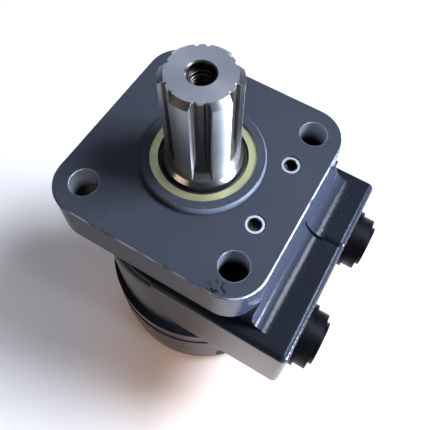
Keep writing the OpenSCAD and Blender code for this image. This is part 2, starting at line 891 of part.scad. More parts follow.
module drain_plug() {
    washer_t = 1.5;
    seat_y = drain_seat_y + washer_t;
    color("#9ea1a5")
        translate([-drain_x, 0, drain_z])
            rotate([-90, 0, 0])
                difference() {
                    union() {
                        rod(drain_seat_y - drain_depth + 2, seat_y, drain_d / 2 - thread_gap);
                        rod(seat_y, seat_y + 1.5, drain_head / 2 + 1.5);
                        rod(seat_y + 1.5, seat_y + 6, drain_head / 2);
                    }
                    rod(seat_y + 1, seat_y + 7, 3 / cos(30), $fn = 6);
                }
}

module drain_washer() {
    washer_t = 1.5;
    color("#3b3d40")
        translate([-drain_x, 0, drain_z])
            rotate([-90, 0, 0])
                tube(drain_seat_y, drain_seat_y + washer_t, drain_boss_d / 2 - 1.5, drain_d / 2);
}

// Gives one transport plug: side is 1 for port A and -1 for port B
module port_plug(side) {
    stem_r = port_d / 2 - 0.9;
    rib_r = port_d / 2 - 0.05;
    collar_x = port_face_x + plug_collar_t;
    cap_x = collar_x + plug_cap_t;
    color("#1d1f22")
        translate([0, side * port_y, port_z])
            rotate([0, 90, 0])
                difference() {
                    union() {
                        rod(port_face_x - plug_stem, port_face_x, stem_r);
                        for (i = [0 : 3])
                            translate([0, 0, port_face_x - plug_stem + 1.5 + i * 2.4])
                                cylinder(h = 1.2, r1 = stem_r, r2 = rib_r);
                        rod(port_face_x, collar_x, plug_collar_d / 2);
                        rod(collar_x, cap_x, plug_cap_d / 2);
                        rod(cap_x, cap_x + plug_boss_t, plug_boss_d / 2);
                    }
                    rod(cap_x - 3, cap_x + plug_boss_t + 1, plug_boss_d / 2 - 2.5);
                }
}

housing();
output_shaft();
dust_seal_case();
dust_seal_lip();
shaft_seal();
seal_support_ring();
thrust_race_front();
thrust_cage();
thrust_needles();
thrust_race_rear();
check_plugs();
check_ball(1);  // check_ball_a
check_ball(-1);  // check_ball_b
cardan_shaft();
cardan_disc();
spacer_plate();
gear_ring();
rotor();
roller(1);  // roller_1
roller(2);  // roller_2
roller(3);  // roller_3
roller(4);  // roller_4
roller(5);  // roller_5
roller(6);  // roller_6
roller(7);  // roller_7
end_cover();
cover_screws();
screw_washers();
housing_o_ring();
ring_o_ring();
cover_o_ring();
drain_plug();
drain_washer();
port_plug(1);  // port_plug_a
port_plug(-1);  // port_plug_b
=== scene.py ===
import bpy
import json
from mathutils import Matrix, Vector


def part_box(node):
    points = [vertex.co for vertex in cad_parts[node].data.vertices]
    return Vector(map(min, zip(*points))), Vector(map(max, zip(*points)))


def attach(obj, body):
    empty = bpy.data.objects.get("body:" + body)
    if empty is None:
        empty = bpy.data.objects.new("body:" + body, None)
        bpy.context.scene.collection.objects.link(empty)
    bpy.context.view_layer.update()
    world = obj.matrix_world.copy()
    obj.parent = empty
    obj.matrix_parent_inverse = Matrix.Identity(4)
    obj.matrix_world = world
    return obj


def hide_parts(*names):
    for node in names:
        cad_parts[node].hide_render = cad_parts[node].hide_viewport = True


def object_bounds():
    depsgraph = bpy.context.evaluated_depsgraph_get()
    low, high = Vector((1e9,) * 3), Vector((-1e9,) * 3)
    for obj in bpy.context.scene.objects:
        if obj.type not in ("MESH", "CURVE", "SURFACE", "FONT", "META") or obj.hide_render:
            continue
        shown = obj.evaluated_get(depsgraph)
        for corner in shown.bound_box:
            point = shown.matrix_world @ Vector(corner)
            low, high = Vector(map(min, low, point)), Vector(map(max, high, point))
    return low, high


bl_info = {
    "name": "Orbital hydraulic motor",
    "version": (1, 0, 0),
    "blender": (4, 5, 0),
    "location": "3D View > Sidebar > Hydraulic motor",
    "description": "Finishes the parts of an orbital hydraulic motor and lights it on a pale floor",
    "category": "Object",
}

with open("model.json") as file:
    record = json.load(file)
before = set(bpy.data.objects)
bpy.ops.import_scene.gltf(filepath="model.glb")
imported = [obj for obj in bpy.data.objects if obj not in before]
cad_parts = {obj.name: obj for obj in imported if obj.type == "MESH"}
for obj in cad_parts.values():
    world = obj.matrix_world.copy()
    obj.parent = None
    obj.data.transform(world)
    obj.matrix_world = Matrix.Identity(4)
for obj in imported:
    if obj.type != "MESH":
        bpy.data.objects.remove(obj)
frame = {"nodes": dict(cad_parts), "record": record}

import json
from math import cos, pi, radians, sin, sqrt

import bmesh
import bpy
from mathutils import Matrix, Vector

MM = 0.001
IMAGE_SIDE = 430

# Levels and radii that the finishes and the added pieces take from the frame, and the set screws' place,
# which is given, in metres
LOWEST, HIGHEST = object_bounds()
MOUNTING_HOLES = next(m for m in frame["record"]["mounts"] if m["name"] == "flange_bolts")["dims"]
BOLT_XY = MOUNTING_HOLES["pcd_mm"] / 2 / sqrt(2) * MM
BOLT_R = MOUNTING_HOLES["hole_r_mm"] * MM
SET_SCREW_XY = (27.9 * MM, 13.2 * MM)
PORT_FACE_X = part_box("housing")[1].x
SHAFT_TOP_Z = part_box("output_shaft")[1].z
FLOOR_Z = LOWEST.z

SPLINE_TEETH = 6
ROLLERS = 7
SHARP_ANGLE = radians(30)

# Depths within which a point counts as part of a machined face, from all of it to none
FACE_SKIN = (0.1 * MM, 0.4 * MM)

# Colour inputs and colour output of a mix node, which Blender numbers and doesn't name apart
FIRST, SECOND, MIXED = 6, 7, 2

FLOOR_HALF_WIDTH = 3
WORLD_STRENGTH = 0.04
WARM_SIDE_TIMES = 4


def linear(hex_colour):
    """The linear value of an sRGB colour that is written as six hex digits."""
    channels = [int(hex_colour[i:i + 2], 16) / 255 for i in (0, 2, 4)]
    return tuple(c / 12.92 if c <= 0.04045 else ((c + 0.055) / 1.055) ** 2.4 for c in channels)


def per(millimetres):
    """The texture scale at which one feature is that many millimetres wide."""
    return 1 / (millimetres * MM)


def colour_property(name, description, hex_colour):
    """A colour that the panel shows as a swatch."""
    return bpy.props.FloatVectorProperty(
        name=name, description=description, subtype="COLOR", size=3, min=0, max=1,
        default=linear(hex_colour))


def length_property(name, description, millimetres):
    """A length that the panel shows in scene units."""
    return bpy.props.FloatProperty(
        name=name, description=description, subtype="DISTANCE", unit="LENGTH", min=0,
        default=millimetres * MM)


class MotorPaint(bpy.types.PropertyGroup):
    """The sprayed paint on the castings and plates."""

    colour: colour_property("Paint", "Colour of the sprayed paint", "171a21")
    # The flange face's own paint, made lighter than the walls as a painted sheen
    face_and_sheen_colour: colour_property("Faces", "Colour of the paint on the flange's face", "3b404a")
    mist: colour_property("Mist", "Colour that the paint drifts to in the spray gun's mist", "1b1f28")
    # Also lightens the flange's bevel as a painted edge highlight, besides the dust specks
    speck_and_edge_highlight_colour: colour_property("Specks", "Colour of dust specks and of the worn bevel", "8b919c")
    # Also the painted shade deep in the mounting holes, besides the scuffs at the corner
    scuff_and_hole_shade_colour: colour_property("Scuffs", "Colour of the scuffs at the flange corner", "0d0f13")
    peel: length_property("Orange peel", "Width of the paint's orange peel", 1.3)
    grain: length_property("Cast grain", "Width of the sand grain under the paint", 0.55)


class MotorMetals(bpy.types.PropertyGroup):
    """The bare and plated metals."""

    ground: colour_property("Ground steel", "Colour of the shaft and of the bearing's steel", "a4a6aa")
    drilled: colour_property("Drilled iron", "Colour of the drilled mounting holes", "b4bac6")
    oiled: colour_property("Oil film", "Colour of the shaft under a thin oil film", "96989d")
    hardened: colour_property("Hardened steel", "Colour of the gear set and cardan shaft", "9a9b9d")
    zinc: colour_property("Zinc", "Colour of bright zinc plating", "cfd3d8")
    # Painted shade in the sockets, the grooves and the end bore
    painted_recess_shade: colour_property("Grime", "Colour of the grime in sockets, grooves and the end bore", "514d4c")
    passivated: colour_property("Passivated zinc", "Colour of yellow passivated zinc", "a9a97c")
    greenish: colour_property("Greenish film", "Colour that the yellow film drifts to", "989d78")
    oxide: colour_property("Black oxide", "Colour of blackened screws", "3a3b3e")
    copper: colour_property("Copper", "Colour of the sealing washers", "b9794f")
    tarnish: colour_property("Tarnish", "Colour of browned copper", "8d5a40")
    brass: colour_property("Brass", "Colour of the needle cage", "bf9c4e")


class MotorSoftParts(bpy.types.PropertyGroup):
    """The rubber and plastic pieces."""

    rubber: colour_property("Rubber", "Colour of the seals", "141415")
    plastic: colour_property("Plugs", "Colour of the transport plugs", "0b0d11")


class MotorReliefs(bpy.types.PropertyGroup):
    """The cutter's reliefs at the feet of the spline teeth."""

    root: length_property("Root radius", "Radius at which the reliefs are centred", 10.85)
    offset: length_property("Offset", "Distance of a relief from the middle of its tooth", 3.9)
    radius: length_property("Radius", "Radius of a relief", 0.75)
    run_out: length_property("Run-out", "Radius on which the reliefs leave the shaft", 40.0)
    full_depth: length_property("Full depth", "Level down to which the reliefs keep their depth", 19.5)
    end: length_property("End", "Level at which the reliefs have left the shaft", 5.0)


class MotorThread(bpy.types.PropertyGroup):
    """The thread in the shaft's end."""

    major: length_property("Major diameter", "Diameter of the tapped hole", 8.0)
    pitch: length_property("Pitch", "Distance between two turns", 1.25)
    start: length_property("Start", "Depth at which the thread starts", 3.6)
    depth: length_property("Depth", "Length of the thread", 16.0)


class MotorStage(bpy.types.PropertyGroup):
    """The floor, the lamps and the camera."""

    floor: colour_property("Floor", "Colour of the floor", "fbfbfb")
    key: bpy.props.FloatProperty(
        name="Key", description="Power of the lamp on the port side", subtype="POWER", min=0, default=17)
    side: bpy.props.FloatProperty(
        name="Side", description="Power of the low lamp on the port side", subtype="POWER", min=0,
        default=2.2)
    sky: bpy.props.FloatProperty(
        name="Sky", description="Power of the broad lamp behind", subtype="POWER", min=0, default=5)
    ceiling: bpy.props.FloatProperty(
        name="Ceiling", description="Power of the overhead lamp", subtype="POWER", min=0, default=3)
    warm: bpy.props.FloatProperty(
        name="Warm fill", description="Power of the low warm lamps", subtype="POWER", min=0, default=0.02)
    focal_length: bpy.props.FloatProperty(
        name="Focal length", description="Focal length of the camera", subtype="DISTANCE_CAMERA",
        min=1, default=45.13)


# Materials

def add_node(tree, kind, values=None, links=None, **settings):
    """Adds a node, sets its settings and unlinked inputs, and links the others."""
    node = tree.nodes.new(kind)
    for name, value in settings.items():
        setattr(node, name, value)
    for socket, value in (values or {}).items():
        node.inputs[socket].default_value = value
    for socket, source in (links or {}).items():
        tree.links.new(source, node.inputs[socket])
    return node


def start_material(name, colour):
    """A material of that name with an empty tree, and the place on the part that its patterns lie by."""
    material = bpy.data.materials.new(name)
    material.use_nodes = True
    material.diffuse_color = (*colour, 1)
    tree = material.node_tree
    tree.nodes.clear()
    place = add_node(tree, "ShaderNodeTexCoord").outputs["Object"]
    return material, tree, place


def painted_cast_iron(paint, metals):
    """Grey cast iron, machined on its faces and sprayed with dark enamel, with bare drilled holes."""
    # The eye sees sand grain and orange peel on the cast walls, a flatter sheen on the machined faces and a
    # painted sheen in the lighter paint of the flange face, sparse dust specks, scuffs, a worn bevel
    # lightened also as a painted edge highlight, and the bright drilled walls of the mounting holes with
    # painted shade deeper down
    material, tree, place = start_material("painted_cast_iron", paint.colour)
    axes = add_node(tree, "ShaderNodeSeparateXYZ", links={"Vector": place}).outputs
    flange_face = add_node(tree, "ShaderNodeMapRange",
                           {"From Min": -FACE_SKIN[1], "From Max": -FACE_SKIN[0]},
                           {"Value": axes["Z"]}).outputs["Result"]
    port_face = add_node(tree, "ShaderNodeMapRange",
                         {"From Min": PORT_FACE_X - FACE_SKIN[1], "From Max": PORT_FACE_X - FACE_SKIN[0]},
                         {"Value": axes["X"]}).outputs["Result"]
    machined = add_node(tree, "ShaderNodeMath", links={0: flange_face, 1: port_face},
                        operation="MAXIMUM").outputs[0]
    cast = add_node(tree, "ShaderNodeMath", {0: 1.0}, {1: machined}, operation="SUBTRACT").outputs[0]
    # Mist of the spray gun: broad clouds, 18 mm wide
    cloud = add_node(tree, "ShaderNodeTexNoise", {"Scale": per(18), "Detail": 3},
                     {"Vector": place}).outputs["Fac"]
    wall = add_node(tree, "ShaderNodeMix", {FIRST: (*paint.colour, 1), SECOND: (*paint.mist, 1)},
                    {0: cloud}, data_type="RGBA").outputs[MIXED]
    thin_cloud = add_node(tree, "ShaderNodeMath", {1: 0.3}, {0: cloud}, operation="MULTIPLY").outputs[0]
    # Paint on the flange face, lightened as a painted sheen
    face = add_node(tree, "ShaderNodeMix", {FIRST: (*paint.face_and_sheen_colour, 1), SECOND: (*paint.mist, 1)},
                    {0: thin_cloud}, data_type="RGBA").outputs[MIXED]
    coat = add_node(tree, "ShaderNodeMix", links={0: flange_face, FIRST: wall, SECOND: face},
                    data_type="RGBA").outputs[MIXED]
    # Dust in the wet paint: specks of half a millimetre
    dust = add_node(tree, "ShaderNodeTexNoise", {"Scale": per(1.1), "Detail": 1},
                    {"Vector": place}).outputs["Fac"]
    speck = add_node(tree, "ShaderNodeMapRange", {"From Min": 0.74, "From Max": 0.79, "To Max": 0.3},
                     {"Value": dust}).outputs["Result"]
    dusty = add_node(tree, "ShaderNodeMix", {SECOND: (*paint.speck_and_edge_highlight_colour, 1)}, {0: speck, FIRST: coat},
                     data_type="RGBA").outputs[MIXED]
    # Scuffs where the flange's corner was set down
    corner_place = Vector((28.5, -39.5, 0)) * MM
    corner = add_node(tree, "ShaderNodeVectorMath", {1: corner_place}, {0: place},
                      operation="DISTANCE").outputs["Value"]
    near_corner = add_node(tree, "ShaderNodeMapRange",
                           {"From Min": 2.5 * MM, "From Max": 5 * MM, "To Min": 1, "To Max": 0},
                           {"Value": corner}).outputs["Result"]
    scrape = add_node(tree, "ShaderNodeTexNoise", {"Scale": per(1.6), "Detail": 3},
                      {"Vector": place}).outputs["Fac"]
    scraped = add_node(tree, "ShaderNodeMapRange", {"From Min": 0.52, "From Max": 0.58},
                       {"Value": scrape}).outputs["Result"]
    scuff = add_node(tree, "ShaderNodeMath", links={0: near_corner, 1: scraped},
                     operation="MULTIPLY").outputs[0]
    scuffed = add_node(tree, "ShaderNodeMix", {SECOND: (*paint.scuff_and_hole_shade_colour, 1)}, {0: scuff, FIRST: dusty},
                       data_type="RGBA").outputs[MIXED]
    # Paint worn thin on the bevel round the flange, lightened also as a painted edge highlight
    above = add_node(tree, "ShaderNodeMapRange", {"From Min": -0.62 * MM, "From Max": -0.5 * MM},
                     {"Value": axes["Z"]}).outputs["Result"]
    below = add_node(tree, "ShaderNodeMapRange",
                     {"From Min": -0.2 * MM, "From Max": -0.1 * MM, "To Min": 1, "To Max": 0},
                     {"Value": axes["Z"]}).outputs["Result"]
    bevel = add_node(tree, "ShaderNodeMath", links={0: above, 1: below}, operation="MULTIPLY").outputs[0]
    rubbed = add_node(tree, "ShaderNodeTexNoise", {"Scale": per(7), "Detail": 4},
                      {"Vector": place}).outputs["Fac"]
    thin = add_node(tree, "ShaderNodeMapRange",
                    {"From Min": 0.4, "From Max": 0.6, "To Min": 0.1, "To Max": 0.8},
                    {"Value": rubbed}).outputs["Result"]
    worn = add_node(tree, "ShaderNodeMath", links={0: bevel, 1: thin}, operation="MULTIPLY").outputs[0]
    coat_with_wear_and_painted_highlight = add_node(tree, "ShaderNodeMix", {SECOND: (*paint.speck_and_edge_highlight_colour, 1)},
                         {0: worn, FIRST: scuffed}, data_type="RGBA").outputs[MIXED]
    # Drilled walls: within a hole's radius of one of the four axes, bright near the mouth and darkened
    # deeper down in the scuff colour as painted shade
    folded = add_node(tree, "ShaderNodeVectorMath", links={0: place},
                      operation="ABSOLUTE").outputs["Vector"]
    level = add_node(tree, "ShaderNodeVectorMath", {1: (1, 1, 0)}, {0: folded},
                     operation="MULTIPLY").outputs["Vector"]
    from_axis = add_node(tree, "ShaderNodeVectorMath", {1: (BOLT_XY, BOLT_XY, 0)}, {0: level},
                         operation="DISTANCE").outputs["Value"]
    bare = add_node(tree, "ShaderNodeMapRange",
                    {"From Min": BOLT_R + 0.02 * MM, "From Max": BOLT_R + 0.05 * MM, "To Min": 1,
                     "To Max": 0}, {"Value": from_axis}).outputs["Result"]
    # Painted shade: the hole walls turn to the scuff colour from 5 to 11 mm deep
    unshaded_mouth = add_node(tree, "ShaderNodeMapRange", {"From Min": -11 * MM, "From Max": -5 * MM},
                     {"Value": axes["Z"]}).outputs["Result"]
    hole_wall_shaded_below_mouth = add_node(tree, "ShaderNodeMix",
                            {FIRST: (*paint.scuff_and_hole_shade_colour, 1), SECOND: (*metals.drilled, 1)}, {0: unshaded_mouth},
                            data_type="RGBA").outputs[MIXED]
    colour = add_node(tree, "ShaderNodeMix", links={0: bare, FIRST: coat_with_wear_and_painted_highlight, SECOND: hole_wall_shaded_below_mouth},
                      data_type="RGBA").outputs[MIXED]
    metal = add_node(tree, "ShaderNodeMath", {1: 0.3}, {0: bare}, operation="MULTIPLY").outputs[0]
    sheen = add_node(tree, "ShaderNodeMapRange", {"To Min": 0.17, "To Max": 0.42},
                     {"Value": machined}).outputs["Result"]
    roughness = add_node(tree, "ShaderNodeMix", {3: 0.5}, {0: bare, 2: sheen}).outputs[0]
    # Orange peel and sand grain only where the casting isn't machined, and a fine ripple of 0.4 mm all over
    peel = add_node(tree, "ShaderNodeTexNoise", {"Scale": 1 / paint.peel, "Detail": 2},
                    {"Vector": place}).outputs["Fac"]
    peel_height = add_node(tree, "ShaderNodeMath", links={0: peel, 1: cast},
                           operation="MULTIPLY").outputs[0]
    grain = add_node(tree, "ShaderNodeTexNoise", {"Scale": 1 / paint.grain, "Detail": 3},
                     {"Vector": place}).outputs["Fac"]
    grain_height = add_node(tree, "ShaderNodeMath", links={0: grain, 1: cast},
                            operation="MULTIPLY").outputs[0]
    fine = add_node(tree, "ShaderNodeTexNoise", {"Scale": per(0.4), "Detail": 2},
                    {"Vector": place}).outputs["Fac"]
    peel_bump = add_node(tree, "ShaderNodeBump", {"Strength": 0.5, "Distance": 0.14 * MM},
                         {"Height": peel_height})
    grain_bump = add_node(tree, "ShaderNodeBump", {"Strength": 0.4, "Distance": 0.03 * MM},
                          {"Height": grain_height, "Normal": peel_bump.outputs["Normal"]})
    relief = add_node(tree, "ShaderNodeBump", {"Strength": 0.4, "Distance": 0.015 * MM},
                      {"Height": fine, "Normal": grain_bump.outputs["Normal"]})
    shader = add_node(tree, "ShaderNodeBsdfPrincipled", {"Specular IOR Level": 0.1},
                      {"Base Color": colour, "Metallic": metal, "Roughness": roughness,
                       "Normal": relief.outputs["Normal"]})
    add_node(tree, "ShaderNodeOutputMaterial", links={"Surface": shader.outputs["BSDF"]})
    return material


def painted_steel_plate(paint):
    """Turned steel plate under the same enamel."""
    # The enamel fills the tool marks, so the eye sees an even dark sheen with a faint ripple
    material, tree, place = start_material("painted_steel_plate", paint.colour)
    cloud = add_node(tree, "ShaderNodeTexNoise", {"Scale": per(14), "Detail": 3},
                     {"Vector": place}).outputs["Fac"]
    coat = add_node(tree, "ShaderNodeMix", {FIRST: (*paint.colour, 1), SECOND: (*paint.mist, 1)},
                    {0: cloud}, data_type="RGBA").outputs[MIXED]
    ripple = add_node(tree, "ShaderNodeTexNoise", {"Scale": per(1.6), "Detail": 2},
                      {"Vector": place}).outputs["Fac"]
    relief = add_node(tree, "ShaderNodeBump", {"Strength": 0.4, "Distance": 0.04 * MM}, {"Height": ripple})
    shader = add_node(tree, "ShaderNodeBsdfPrincipled", {"Specular IOR Level": 0.1, "Roughness": 0.25},
                      {"Base Color": coat, "Normal": relief.outputs["Normal"]})
    add_node(tree, "ShaderNodeOutputMaterial", links={"Surface": shader.outputs["BSDF"]})
    return material


def ground_steel(metals):
    """Hardened steel, ground round its journal and hobbed along its teeth."""
    # The eye sees gleams drawn out along the shaft, across the fine grinding marks, and cloudy patches of a
    # thin oil film, no single rings
    material, tree, place = start_material("ground_steel", metals.ground)
    film = add_node(tree, "ShaderNodeTexNoise", {"Scale": per(9), "Detail": 3},
                    {"Vector": place}).outputs["Fac"]
    colour = add_node(tree, "ShaderNodeMix", {FIRST: (*metals.ground, 1), SECOND: (*metals.oiled, 1)},
                      {0: film}, data_type="RGBA").outputs[MIXED]
    # Painted shade in the spline's grooves and in the bore of the shaft's end
    level = add_node(tree, "ShaderNodeVectorMath", {1: (1, 1, 0)}, {0: place},
                     operation="MULTIPLY").outputs["Vector"]
    from_axis = add_node(tree, "ShaderNodeVectorMath", links={0: level},
                         operation="LENGTH").outputs["Value"]
    bore = add_node(tree, "ShaderNodeMapRange",
                    {"From Min": 4.3 * MM, "From Max": 4.42 * MM, "To Min": 1, "To Max": 0},
                    {"Value": from_axis}).outputs["Result"]
    recess = add_node(tree, "ShaderNodeMapRange",
                      {"From Min": 11.3 * MM, "From Max": 11.7 * MM, "To Min": 1, "To Max": 0},
                      {"Value": from_axis}).outputs["Result"]
    height = add_node(tree, "ShaderNodeSeparateXYZ", links={"Vector": place}).outputs["Z"]
    under_end = add_node(tree, "ShaderNodeMapRange",
                         {"From Min": SHAFT_TOP_Z - 0.9 * MM, "From Max": SHAFT_TOP_Z - 0.8 * MM,
                          "To Min": 1, "To Max": 0}, {"Value": height}).outputs["Result"]
    groove = add_node(tree, "ShaderNodeMath", links={0: recess, 1: under_end},
                      operation="MULTIPLY").outputs[0]
    recess_shade_mask = add_node(tree, "ShaderNodeMath", links={0: bore, 1: groove}, operation="MAXIMUM").outputs[0]
    colour_with_recess_shade = add_node(tree, "ShaderNodeMix", {SECOND: (*metals.painted_recess_shade, 1)}, {0: recess_shade_mask, FIRST: colour},
                    data_type="RGBA").outputs[MIXED]
    round_axis = add_node(tree, "ShaderNodeTangent", direction_type="RADIAL", axis="Z").outputs["Tangent"]
    shader = add_node(tree, "ShaderNodeBsdfPrincipled",
                      {"Metallic": 1.0, "Roughness": 0.28, "Anisotropic": 0.6,
                       "Anisotropic Rotation": 0.25}, {"Base Color": colour_with_recess_shade, "Tangent": round_axis})
    add_node(tree, "ShaderNodeOutputMaterial", links={"Surface": shader.outputs["BSDF"]})
    return material


def hardened_steel(metals):
    """Case-hardened and lapped steel."""
    # Darker than the shaft, with a dull, even gleam
    material, tree, place = start_material("hardened_steel", metals.hardened)
    lapped = add_node(tree, "ShaderNodeTexNoise", {"Scale": per(4), "Detail": 3},
                      {"Vector": place}).outputs["Fac"]
    roughness = add_node(tree, "ShaderNodeMapRange",
                         {"From Min": 0.3, "From Max": 0.7, "To Min": 0.26, "To Max": 0.4},
                         {"Value": lapped}).outputs["Result"]
    marks = add_node(tree, "ShaderNodeTexNoise", {"Scale": per(0.7), "Detail": 2},
                     {"Vector": place}).outputs["Fac"]
    relief = add_node(tree, "ShaderNodeBump", {"Strength": 0.4, "Distance": 0.006 * MM}, {"Height": marks})
    shader = add_node(tree, "ShaderNodeBsdfPrincipled",
                      {"Base Color": (*metals.hardened, 1), "Metallic": 1.0},
                      {"Roughness": roughness, "Normal": relief.outputs["Normal"]})
    add_node(tree, "ShaderNodeOutputMaterial", links={"Surface": shader.outputs["BSDF"]})
    return material


def bearing_steel(metals):
    """Through-hardened bearing steel, polished."""
    # Nearly a mirror, with faint smears
    material, tree, place = start_material("bearing_steel", metals.ground)
    smear = add_node(tree, "ShaderNodeTexNoise", {"Scale": per(3), "Detail": 2},
                     {"Vector": place}).outputs["Fac"]
    roughness = add_node(tree, "ShaderNodeMapRange",
                         {"From Min": 0.3, "From Max": 0.7, "To Min": 0.1, "To Max": 0.2},
                         {"Value": smear}).outputs["Result"]
    shader = add_node(tree, "ShaderNodeBsdfPrincipled",
                      {"Base Color": (*metals.ground, 1), "Metallic": 1.0}, {"Roughness": roughness})
    add_node(tree, "ShaderNodeOutputMaterial", links={"Surface": shader.outputs["BSDF"]})
    return material


def bright_zinc(metals):
    """Blue-passivated zinc plating over steel."""
    # Bright and slightly blue, with cloudy crystals
    material, tree, place = start_material("bright_zinc", metals.zinc)
    crystals = add_node(tree, "ShaderNodeTexNoise", {"Scale": per(1.5), "Detail": 3},
                        {"Vector": place}).outputs["Fac"]
    # Painted shade in the set screws' sockets
    folded = add_node(tree, "ShaderNodeVectorMath", links={0: place},
                      operation="ABSOLUTE").outputs["Vector"]
    level = add_node(tree, "ShaderNodeVectorMath", {1: (1, 1, 0)}, {0: folded},
                     operation="MULTIPLY").outputs["Vector"]
    from_screw = add_node(tree, "ShaderNodeVectorMath", {1: (*SET_SCREW_XY, 0)}, {0: level},
                          operation="DISTANCE").outputs["Value"]
    painted_recess_shade = add_node(tree, "ShaderNodeMapRange",
                     {"From Min": 2.1 * MM, "From Max": 2.6 * MM, "To Min": 1, "To Max": 0},
                     {"Value": from_screw}).outputs["Result"]
    colour = add_node(tree, "ShaderNodeMix", {FIRST: (*metals.zinc, 1), SECOND: (*metals.painted_recess_shade, 1)},
                      {0: painted_recess_shade}, data_type="RGBA").outputs[MIXED]
    roughness = add_node(tree, "ShaderNodeMapRange",
                         {"From Min": 0.3, "From Max": 0.7, "To Min": 0.2, "To Max": 0.34},
                         {"Value": crystals}).outputs["Result"]
    relief = add_node(tree, "ShaderNodeBump", {"Strength": 0.2, "Distance": 0.005 * MM},
                      {"Height": crystals})
    shader = add_node(tree, "ShaderNodeBsdfPrincipled", {"Metallic": 1.0},
                      {"Base Color": colour, "Roughness": roughness, "Normal": relief.outputs["Normal"]})
    add_node(tree, "ShaderNodeOutputMaterial", links={"Surface": shader.outputs["BSDF"]})
    return material


def yellow_zinc(metals):
    """Yellow-passivated zinc plating on the pressed seal case."""
    # A pale gold that drifts to green in the film, duller in patches
    material, tree, place = start_material("yellow_zinc", metals.passivated)
    film = add_node(tree, "ShaderNodeTexNoise", {"Scale": per(6), "Detail": 2},
                    {"Vector": place}).outputs["Fac"]
    colour = add_node(tree, "ShaderNodeMix",
                      {FIRST: (*metals.passivated, 1), SECOND: (*metals.greenish, 1)}, {0: film},
                      data_type="RGBA").outputs[MIXED]
    wiped = add_node(tree, "ShaderNodeTexNoise", {"Scale": per(1.2), "Detail": 3},
                     {"Vector": place}).outputs["Fac"]
    roughness = add_node(tree, "ShaderNodeMapRange",
                         {"From Min": 0.3, "From Max": 0.7, "To Min": 0.32, "To Max": 0.46},
                         {"Value": wiped}).outputs["Result"]
    shader = add_node(tree, "ShaderNodeBsdfPrincipled", {"Metallic": 0.6},
                      {"Base Color": colour, "Roughness": roughness})
    add_node(tree, "ShaderNodeOutputMaterial", links={"Surface": shader.outputs["BSDF"]})
    return material


def black_oxide(metals):
    """Blackened steel screws."""
    # Dark and even under a film of oil that pools in patches
    material, tree, place = start_material("black_oxide", metals.oxide)
    oil = add_node(tree, "ShaderNodeTexNoise", {"Scale": per(2), "Detail": 3},
                   {"Vector": place}).outputs["Fac"]
    roughness = add_node(tree, "ShaderNodeMapRange",
                         {"From Min": 0.3, "From Max": 0.7, "To Min": 0.28, "To Max": 0.48},
                         {"Value": oil}).outputs["Result"]
    relief = add_node(tree, "ShaderNodeBump", {"Strength": 0.5, "Distance": 0.012 * MM}, {"Height": oil})
    shader = add_node(tree, "ShaderNodeBsdfPrincipled", {"Base Color": (*metals.oxide, 1), "Metallic": 1.0},
                      {"Roughness": roughness, "Normal": relief.outputs["Normal"]})
    add_node(tree, "ShaderNodeOutputMaterial", links={"Surface": shader.outputs["BSDF"]})
    return material


def annealed_copper(metals):
    """Annealed copper washers, pressed flat."""
    # Soft orange that has browned in places
    material, tree, place = start_material("annealed_copper", metals.copper)
    tarnish = add_node(tree, "ShaderNodeTexNoise", {"Scale": per(3), "Detail": 3},
                       {"Vector": place}).outputs["Fac"]
    colour = add_node(tree, "ShaderNodeMix", {FIRST: (*metals.copper, 1), SECOND: (*metals.tarnish, 1)},
                      {0: tarnish}, data_type="RGBA").outputs[MIXED]
    shader = add_node(tree, "ShaderNodeBsdfPrincipled", {"Metallic": 1.0, "Roughness": 0.33},
                      {"Base Color": colour})
    add_node(tree, "ShaderNodeOutputMaterial", links={"Surface": shader.outputs["BSDF"]})
    return material


def rolled_brass(metals):
    """Rolled brass sheet, punched for the needles."""
    # Yellow and bright, with cloudy rolling marks
    material, tree, place = start_material("rolled_brass", metals.brass)
    rolled = add_node(tree, "ShaderNodeTexNoise", {"Scale": per(2), "Detail": 2},
                      {"Vector": place}).outputs["Fac"]
    roughness = add_node(tree, "ShaderNodeMapRange",
                         {"From Min": 0.3, "From Max": 0.7, "To Min": 0.22, "To Max": 0.36},
                         {"Value": rolled}).outputs["Result"]
    shader = add_node(tree, "ShaderNodeBsdfPrincipled", {"Base Color": (*metals.brass, 1), "Metallic": 1.0},
                      {"Roughness": roughness})
    add_node(tree, "ShaderNodeOutputMaterial", links={"Surface": shader.outputs["BSDF"]})
    return material


def nitrile_rubber(soft):
    """Moulded nitrile rubber."""
    # Black, and faintly grey where the mould left it dull
    material, tree, place = start_material("nitrile_rubber", soft.rubber)
    dull = add_node(tree, "ShaderNodeTexNoise", {"Scale": per(2.5), "Detail": 3},
                    {"Vector": place}).outputs["Fac"]
    roughness = add_node(tree, "ShaderNodeMapRange",
                         {"From Min": 0.3, "From Max": 0.7, "To Min": 0.4, "To Max": 0.62},
                         {"Value": dull}).outputs["Result"]
    grain = add_node(tree, "ShaderNodeTexNoise", {"Scale": per(0.4), "Detail": 2},
                     {"Vector": place}).outputs["Fac"]
    relief = add_node(tree, "ShaderNodeBump", {"Strength": 0.5, "Distance": 0.01 * MM}, {"Height": grain})
    shader = add_node(tree, "ShaderNodeBsdfPrincipled", {"Base Color": (*soft.rubber, 1)},
                      {"Roughness": roughness, "Normal": relief.outputs["Normal"]})
    add_node(tree, "ShaderNodeOutputMaterial", links={"Surface": shader.outputs["BSDF"]})
    return material


